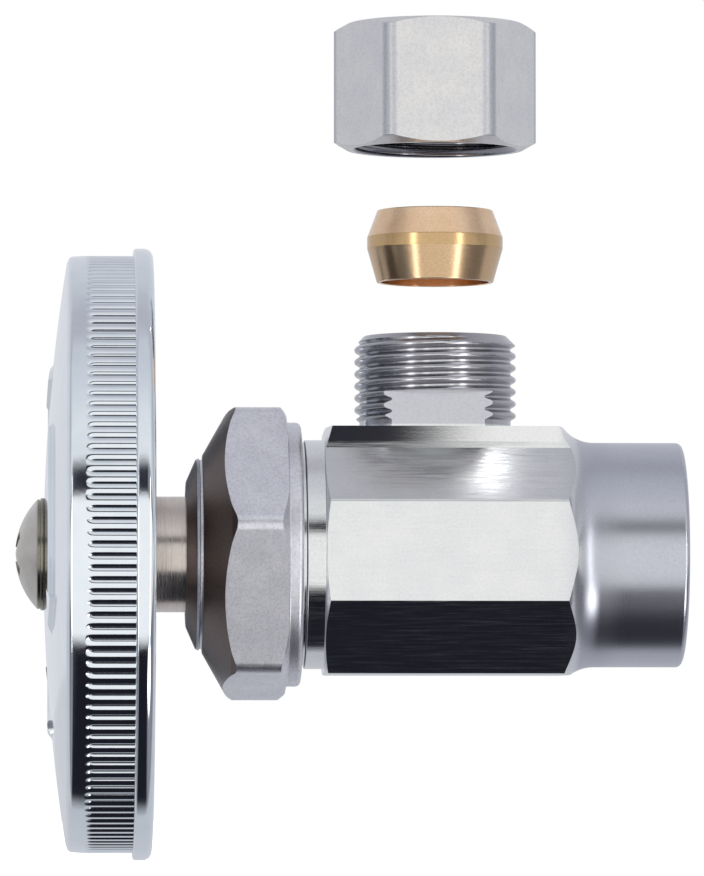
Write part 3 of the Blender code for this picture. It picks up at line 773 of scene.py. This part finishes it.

# %% [markdown]
# ## The handle screw
# A cold-headed steel screw with a low dome and a cross recess. It has no plating to speak of, so
# it is a warmer, duller grey than the wheel.

# %% Handle screw
# The zone is a painted shadow: the rim of the head, where it sits on the wheel, is tinted darker.
SCREW_STEEL = metal(
    "plain_cold_headed_steel", "#CECBC5", "#C0BCB4", 0.20, 0.32,
    lines=(1.0, 1.0, 1.0), line_depth=0.003, pits=4.0, pit_depth=0.004,
    zones=[([(far_from, ((0, 0, 0), (1, 0, 0)), 57.0, 56.75)], "#8A857A", 0.25)])
DRIVER_TURN = radians(45)
HEAD_RADIUS = screw_high.z
HEAD_DOME = 2.08
HEAD_RIM = 0.5
SCREW_SEAT = SPOT_FACE - 0.3
SHANK_RADIUS = 1.9


def handle_screw():
    rim = SCREW_SEAT - HEAD_RIM
    top = rim - HEAD_DOME
    sphere = (HEAD_RADIUS ** 2 + HEAD_DOME ** 2) / (2 * HEAD_DOME)
    radii = [(HEAD_RADIUS - 0.12) * (1 - i / 24) for i in range(25)]
    dome = [(top + sphere - sqrt(sphere ** 2 - r ** 2), r) for r in radii]
    screw = turned("handle_screw_fine", rounded([
        (screw_high.x, 0.0), (screw_high.x, SHANK_RADIUS, 0.3), (SCREW_SEAT, SHANK_RADIUS),
        (SCREW_SEAT, HEAD_RADIUS, 0.12), (rim, HEAD_RADIUS, 0.12)]) + dome, closed=False)
    for half_y, half_z in ((2.3, 0.45), (0.45, 2.3)):
        slot = block("recess", (top - 1, -half_y, -half_z), (top + 1.5, half_y, half_z))
        slot.data.transform(Matrix.Rotation(DRIVER_TURN, 4, "X"))
        combine(screw, slot, "DIFFERENCE")
    return screw


finish_piece(handle_screw(), "spindle", "handle_screw", SCREW_STEEL)

# %% [markdown]
# ## The stem and what it carries
# The stem is turned from brass that has dulled to a pinkish grey, with fine tool marks round it.
# A square takes the wheel, a thread climbs in the body's neck, and a cup holds the rubber washer.

# %% Stem
STEM_BRASS = metal(
    "dulled_turned_brass", "#DAD1CA", "#CEC3BB", 0.20, 0.30,
    lines=(7.0, 0.12, 0.12), line_depth=0.006, pits=3.0, pit_depth=0.003)
STEM_RADIUS = stem_high.z
STEM_PITCH = 25.4 / 16
STEM_ROOT = 4.1
SCREW_HOLE = 1.7
SQUARE_END_HALF = 3.2
WASHER_LOW, WASHER_HIGH = box_mm("seat_washer")
CUP_FLOOR = WASHER_LOW.x - 0.3
THREAD_LOW = body_low.x + 2.4
THREAD_HIGH = CUP_FLOOR - 2.2


def stem():
    shoulder = HUB_BACK + 0.3
    made = turned("stem_fine", rounded([
        (CUP_FLOOR - 3.6, 0.0), (CUP_FLOOR - 3.6, SCREW_HOLE), (CUP_FLOOR, SCREW_HOLE),
        (CUP_FLOOR, STEM_RADIUS - 0.4), (stem_high.x, STEM_RADIUS - 0.4, 0.1),
        (stem_high.x, STEM_RADIUS, 0.15), (THREAD_HIGH + 0.4, STEM_RADIUS, 0.1),
        (THREAD_HIGH + 0.1, STEM_ROOT), (THREAD_LOW - 0.1, STEM_ROOT),
        (THREAD_LOW - 0.6, STEM_RADIUS, 0.1),
        (shoulder, STEM_RADIUS, 0.25), (shoulder, 0.0)]), closed=False)
    thread = threaded("stem_thread", STEM_RADIUS, STEM_PITCH, THREAD_LOW, THREAD_HIGH,
                      lambda x: STEM_ROOT + 0.1 + min(x - THREAD_LOW, THREAD_HIGH - x), "X")
    combine(made, thread, "UNION")
    square = bar("square", 4, SQUARE_END_HALF, stem_low.x, shoulder + 1, 0.25, first_corner=45)
    combine(made, square, "UNION")
    hole = turned("hole", [(screw_high.x + 0.3, 0.0), (screw_high.x + 0.3, 2.2),
                           (stem_low.x - 1, 2.2), (stem_low.x - 1, 0.0)], closed=False)
    return combine(made, hole, "DIFFERENCE")


finish_piece(stem(), "spindle", "stem", STEM_BRASS)

# %% [markdown]
# ## Washers, packing and the washer's screw
# These sit inside and show only through the bores, but a part that is taken to pieces needs them
# as finished as the rest. Rubber is a dark matt plastic with a fine grain from its mould.

# %% Small inner pieces
BARE_BRASS = metal(
    "bare_turned_brass", "#D9B36A", "#C79F58", 0.20, 0.34,
    lines=(6.0, 0.15, 0.15), line_depth=0.004, pits=3.0, pit_depth=0.002)
RUBBER = metal(
    "moulded_black_rubber", "#1B1B1C", "#242425", 0.60, 0.80,
    lines=(2.0, 2.0, 2.0), line_depth=0.010, pits=9.0, pit_depth=0.006)
RUBBER.node_tree.nodes["Principled BSDF"].inputs["Metallic"].default_value = 0.0


def ring(node, body_name, slot, finish, inner, edge):
    """A plain ring as large as its plain node, with rounded corners."""
    low, high = box_mm(node)
    section = rounded([(high.x, high.z, edge), (low.x, high.z, edge),
                       (low.x, inner, edge), (high.x, inner, edge)])
    return finish_piece(turned(f"{node}_fine", section), body_name, node, finish)


ring("packing_washer", "root", "brass", BARE_BRASS, STEM_BORE, 0.12)
ring("packing_ring", "root", "black_rubber", RUBBER, STEM_BORE, 0.4)
ring("seat_washer", "washer", "black_rubber", RUBBER, 1.7, 0.3)


def seat_washer_screw():
    low, high = box_mm("seat_washer_screw")
    seat = WASHER_HIGH.x + 0.3
    made = turned("seat_washer_screw_fine", rounded([
        (high.x, 0.0), (high.x, high.z, 0.5), (seat, high.z, 0.1), (seat, 1.4, 0.1),
        (low.x, 1.4, 0.3), (low.x, 0.0)]), closed=False, sides=96)
    slot = block("slot", (high.x - 0.6, -0.35, -3), (high.x + 1, 0.35, 3))
    return combine(made, slot, "DIFFERENCE")


finish_piece(seat_washer_screw(), "spindle", "seat_washer_screw", BARE_BRASS)

# %% [markdown]
# ## The compression nut
# A thin-walled hexagon nut, 5/8 in across its flats, bright chromed. Its flats keep the faint
# lines of the drawn bar along its height. The inside thread is the outlet's own helix, made a
# little larger and cut out of the nut.

# %% Compression nut
# The second zone is painted shade: the nut's bore and inside thread are tinted darker grey.
CAP_CHROME = metal(
    "bright_chrome_on_drawn_bar", "#E4E3E1", "#DDDCDE", 0.28, 0.38,
    lines=(3.0, 3.0, 0.35), line_depth=0.0008, pits=7.0, pit_depth=0.005, grain=0.10,
    zones=[([(far_from, ((OUTLET_X, 0, 0), (1, 1, 0)), 8.72, 8.92)], "#C8C9CE", 0.46),
           ([(far_from, ((OUTLET_X, 0, 0), (1, 1, 0)), 7.42, 7.36),
             (facing, ((0, 0, 1),), 0.97, 0.90)], "#8C8C92", 0.14)])
THREAD_ROOM = 0.12
SEATED_DROP = 21.4     # the threads are in step when the nut is all the way down
CAP_CHAMFER = 0.95
CAP_MOUTH_RADIUS = 7.3
CAP_BORE = 6.62
CAP_THREAD_LENGTH = 7.7
CAP_CONE_END = 10.4
CAP_HOLE = 5.1


def compression_nut():
    bottom, top = cap_low.z, cap_high.z
    nut_bar = bar("compression_nut_fine", 6, cap_high.y, bottom - 1, top + 1, 0.7, "Z",
                  OUTLET_X, first_corner=30.0)
    wide = cap_high.y / cos(pi / 6) + 0.3
    narrow = wide - CAP_CHAMFER / tan(radians(30))
    section = rounded([
        (top, narrow, 0.15), (top - CAP_CHAMFER, wide), (bottom + CAP_CHAMFER, wide),
        (bottom, narrow, 0.1), (bottom, CAP_MOUTH_RADIUS, 0.08), (bottom + 0.7, CAP_BORE),
        (bottom + CAP_THREAD_LENGTH + 0.2, CAP_BORE),
        (bottom + CAP_CONE_END, CAP_HOLE, 0.2), (top, CAP_HOLE, 0.15)])
    combine(nut_bar, turned("cap_section", section, "Z", OUTLET_X), "INTERSECT")
    turns = int((bottom - SEATED_DROP - 0.6 - THREAD_START) / THREAD_PITCH)
    start = THREAD_START + SEATED_DROP + turns * THREAD_PITCH
    end = bottom + CAP_THREAD_LENGTH
    cutter = threaded("cap_thread", THREAD_CREST + THREAD_ROOM, THREAD_PITCH, start, end,
                      lambda z: CAP_BORE - 0.22 + max(end - z, 0.0), x=OUTLET_X)
    return combine(nut_bar, cutter, "DIFFERENCE")


finish_piece(compression_nut(), "outlet_nut", "compression_nut",
             CAP_CHROME)

# %% [markdown]
# ## The ferrule
# The sleeve that the nut crushes onto the tube. Bare brass, turned in one pass, with a straight
# band between two tapers and a warm, slightly pink colour.

# %% Ferrule
# The cutter left the lower taper brighter and redder than the band, and the bore is coppery.
FERRULE_BAND = (3.0, 4.0)    # millimetres above its foot
FERRULE_BORE = 4.7825
FERRULE_BRASS = metal(
    "bare_ferrule_brass", "#F0D0AE", "#E9C49E", 0.14, 0.26,
    lines=(0.1, 0.1, 9.0), line_depth=0.004, pits=3.0, pit_depth=0.003, grain=0.08,
    zones=[
        ([(far_from, ((0, 0, ferrule_low.z), (0, 0, 1)), FERRULE_BAND[0] + 0.1,
           FERRULE_BAND[0] - 0.1)], "#D6B690", 0.21),
        ([(far_from, ((0, 0, ferrule_low.z + sum(FERRULE_BAND) / 2), (0, 0, 1)), 0.6, 0.5)],
         "#CBAB7E", 0.2),
        ([(far_from, ((OUTLET_X, 0, 0), (1, 1, 0)), FERRULE_BORE + 0.12, FERRULE_BORE + 0.04)],
         "#F8CFA2", 0.2)])


def ferrule():
    foot, top = ferrule_low.z, ferrule_high.z
    band = ferrule_high.y
    return turned("ferrule_fine", rounded([
        (top, 5.1, 0.12), (foot + FERRULE_BAND[1], band, 0.2),
        (foot + FERRULE_BAND[0], band, 0.2), (foot, 5.15, 0.12),
        (foot, FERRULE_BORE, 0.06), (top, FERRULE_BORE, 0.06)]), "Z", OUTLET_X)


finish_piece(ferrule(), "outlet_ferrule", "ferrule", FERRULE_BRASS)

# %% [markdown]
# ## Floor, light and camera
# Chrome shows whatever stands round it, so the studio matters as much as the metal. A white card
# stands in front, the ceiling and the back wall are grey, and the table below the front edge is
# dark: that gives the flats and cylinders their long light and dark bands. Two tall soft lamps
# left and right of the camera draw the upright highlights on the outlet and the ferrule.

# %% A plain pale floor
def pale_floor():
    made = bpy.data.materials.new("pale_floor")
    made.use_nodes = True
    tree = made.node_tree
    shader = tree.nodes["Principled BSDF"]
    place_of = add(tree, "ShaderNodeTexCoord").outputs["Object"]
    grain = add(tree, "ShaderNodeTexNoise", {"Vector": place_of, "Scale": 900.0})
    tinted = add(tree, "ShaderNodeMix", {
        "Factor": grain.outputs["Fac"], "A": colour("#F2F2F2"), "B": colour("#F7F7F7")},
        data_type="RGBA")
    tree.links.new(tinted.outputs["Result"], shader.inputs["Base Color"])
    shader.inputs["Roughness"].default_value = 0.9
    shader.inputs["Emission Color"].default_value = (1.0, 1.0, 1.0, 1.0)
    shader.inputs["Emission Strength"].default_value = 0.8
    mesh = bpy.data.meshes.new("floor")
    shape = bmesh.new()
    bmesh.ops.create_circle(shape, cap_ends=True, segments=96, radius=1.5)
    shape.to_mesh(mesh)
    shape.free()
    floor = new_object("floor", mesh)
    floor.location.z = cad_low.z - 0.0002
    floor.data.materials.append(made)
    floor.visible_glossy = False


pale_floor()

# %% The studio's walls, as light from every direction
# Each stop: (degrees up from the camera's side, over the top and round to the floor, grey hex)
STUDIO = [(-180, "#CCCED4"), (-118, "#C6C8CE"), (-108, "#202029"), (-38, "#1C1C24"),
          (-33, "#FFFFFF"), (19, "#FFFFFF"), (22, "#2C2C34"), (30, "#34343C"),
          (36, "#EEEFF1"), (48, "#EEEFF1"), (65, "#DADCE2"), (84, "#D0D2D8"),
          (92, "#BEBEC6"), (104, "#BEBEC6"), (120, "#CED0D6"), (180, "#DADCE2")]
# Round soft lights: (azimuth from the camera to the right, elevation, radius, strength)
SPOTS = [(42, -44, 17, 4.0)]
WALL_STRENGTH = 1.05
SIDE_DARK = (0.66, 0.80, 0.80)    # the dim corners beside the lamps: from, to, light left
TABLE_END = (0.12, 0.36)          # how far the dark table reaches sideways


def towards(azimuth, elevation):
    """The direction to a light; azimuth 0 is the camera's side and 90 the right."""
    a, e = radians(azimuth), radians(elevation)
    return Vector((sin(a) * cos(e), -cos(a) * cos(e), sin(e)))


def wall_light(tree, direction):
    """The light of the card, the walls, the ceiling and the table from each direction."""
    way = add(tree, "ShaderNodeSeparateXYZ", {0: direction})
    front = add(tree, "ShaderNodeMath", {0: way.outputs["Y"], 1: -1.0}, operation="MULTIPLY")
    angle = add(tree, "ShaderNodeMath", {0: way.outputs["Z"], 1: front.outputs[0]},
                operation="ARCTAN2")
    share = add(tree, "ShaderNodeMapRange", {
        "Value": angle.outputs[0], "From Min": -pi, "From Max": pi})
    walls = add(tree, "ShaderNodeValToRGB", {"Fac": share.outputs[0]})
    ramp = walls.color_ramp
    for degrees_up, code in STUDIO[1:-1]:
        ramp.elements.new((degrees_up + 180) / 360).color = colour(code)
    ramp.elements[0].color = colour(STUDIO[0][1])
    ramp.elements[-1].color = colour(STUDIO[-1][1])
    sideways = add(tree, "ShaderNodeMath", {0: way.outputs["X"]}, operation="ABSOLUTE")
    beyond_table = add(tree, "ShaderNodeMapRange", {
        "Value": sideways.outputs[0], "From Min": TABLE_END[0], "From Max": TABLE_END[1]},
        interpolation_type="SMOOTHSTEP")
    lit_floor = add(tree, "ShaderNodeMix", {
        "Factor": beyond_table.outputs[0], "A": walls.outputs["Color"],
        "B": colour("#8E8E96")}, data_type="RGBA", blend_type="LIGHTEN")
    corner = add(tree, "ShaderNodeMapRange", {
        "Value": sideways.outputs[0], "From Min": SIDE_DARK[0], "From Max": SIDE_DARK[1],
        "To Max": 1.0 - SIDE_DARK[2]}, interpolation_type="SMOOTHSTEP")
    in_front = add(tree, "ShaderNodeMapRange", {
        "Value": front.outputs[0], "From Min": -0.2, "From Max": 0.1},
        interpolation_type="SMOOTHSTEP")
    dimmed = add(tree, "ShaderNodeMath", {0: corner.outputs[0], 1: in_front.outputs[0]},
                 operation="MULTIPLY")
    kept = add(tree, "ShaderNodeMath", {0: 1.0, 1: dimmed.outputs[0]}, operation="SUBTRACT")
    strength = add(tree, "ShaderNodeMath", {0: kept.outputs[0], 1: WALL_STRENGTH},
                   operation="MULTIPLY").outputs[0]
    return add(tree, "ShaderNodeVectorMath",
               {0: lit_floor.outputs["Result"], "Scale": strength}, operation="SCALE").outputs[0]


def with_spots(tree, direction, light):
    """Adds the round soft lights to the light of the walls."""
    for azimuth, elevation, radius, power in SPOTS:
        near = add(tree, "ShaderNodeVectorMath",
                   {0: direction, 1: towards(azimuth, elevation)}, operation="DOT_PRODUCT")
        glow = add(tree, "ShaderNodeMapRange", {
            "Value": near.outputs["Value"], "From Min": cos(radians(radius)),
            "From Max": cos(radians(radius / 3)), "To Max": power},
            interpolation_type="SMOOTHSTEP")
        light = add(tree, "ShaderNodeVectorMath", {0: light, 1: glow.outputs[0]},
                    operation="ADD").outputs[0]
    return light


def studio_world():
    """The studio, seen only in reflections; the camera itself sees plain white."""
    world = bpy.data.worlds.new("studio")
    world.use_nodes = True
    tree = world.node_tree
    tree.nodes.clear()
    direction = add(tree, "ShaderNodeTexCoord").outputs["Generated"]
    light = with_spots(tree, direction, wall_light(tree, direction))
    seen = add(tree, "ShaderNodeBackground", {"Color": (1, 1, 1, 1), "Strength": 1.0})
    reflected = add(tree, "ShaderNodeBackground", {"Color": light, "Strength": 1.0})
    camera_ray = add(tree, "ShaderNodeLightPath").outputs["Is Camera Ray"]
    mix = add(tree, "ShaderNodeMixShader",
              {0: camera_ray, 1: reflected.outputs[0], 2: seen.outputs[0]})
    add(tree, "ShaderNodeOutputWorld", {"Surface": mix.outputs[0]})
    bpy.context.scene.world = world


studio_world()


# %% Two tall soft lamps, and a small one close above the body
def add_lamp(name, shape, width, height, power, location, back):
    light = bpy.data.lights.new(name, "AREA")
    light.shape = shape
    light.size, light.size_y = width, height
    light.energy = power
    lamp = bpy.data.objects.new(name, light)
    bpy.context.scene.collection.objects.link(lamp)
    lamp.location = location
    lamp.rotation_euler = back.to_track_quat("Z", "Y").to_euler()
    lamp.visible_camera = False


def soft_lamp(name, azimuth, elevation, distance, width, height, power):
    back = towards(azimuth, elevation)
    aim = Vector((OUTLET_X, 0, OUTLET_TOP)) * MM
    add_lamp(name, "RECTANGLE", width, height, power, aim + back * distance, back)


soft_lamp("lamp_left", -40, -6, 0.8, 0.10, 0.9, 0.85)
soft_lamp("lamp_right", 40, -4, 0.8, 0.10, 0.8, 0.80)
add_lamp("lamp_near", "ELLIPSE", 0.0018, 0.0018, 0.00011,
         Vector((-13.5, -4.7, 67.2)) * MM, Vector((0.064, 0.048, 1.0)))

# %% [markdown]
# The camera stands far off and a little below the fittings, towards the wheel's side, so the
# wheel is seen almost edge-on and the undersides of the nut and the ferrule just show.

# %% Camera
VIEW_HEIGHT = 77.25    # what the frame takes in at the object
SENSOR = 36.0
DISTANCE = 617.0
AIM = Vector((-29.1, 0.0, 10.32))
CAMERA_X = -56.0
CAMERA_ELEVATION = -3.0

camera_data = bpy.data.cameras.new("camera")
camera_data.sensor_width = SENSOR
camera_data.lens = DISTANCE / VIEW_HEIGHT * SENSOR
camera_data.clip_start = 0.01
camera_data.clip_end = 10.0
camera = bpy.data.objects.new("camera", camera_data)
bpy.context.scene.collection.objects.link(camera)
camera.location = Vector((CAMERA_X, -DISTANCE,
                          AIM.z + DISTANCE * tan(radians(CAMERA_ELEVATION)))) * MM
camera.rotation_euler = (camera.location - AIM * MM).to_track_quat("Z", "Y").to_euler()
bpy.context.scene.camera = camera
bpy.context.scene.view_settings.view_transform = "Standard"
print(f"lens {camera_data.lens:.0f} mm at {DISTANCE:.0f} mm")
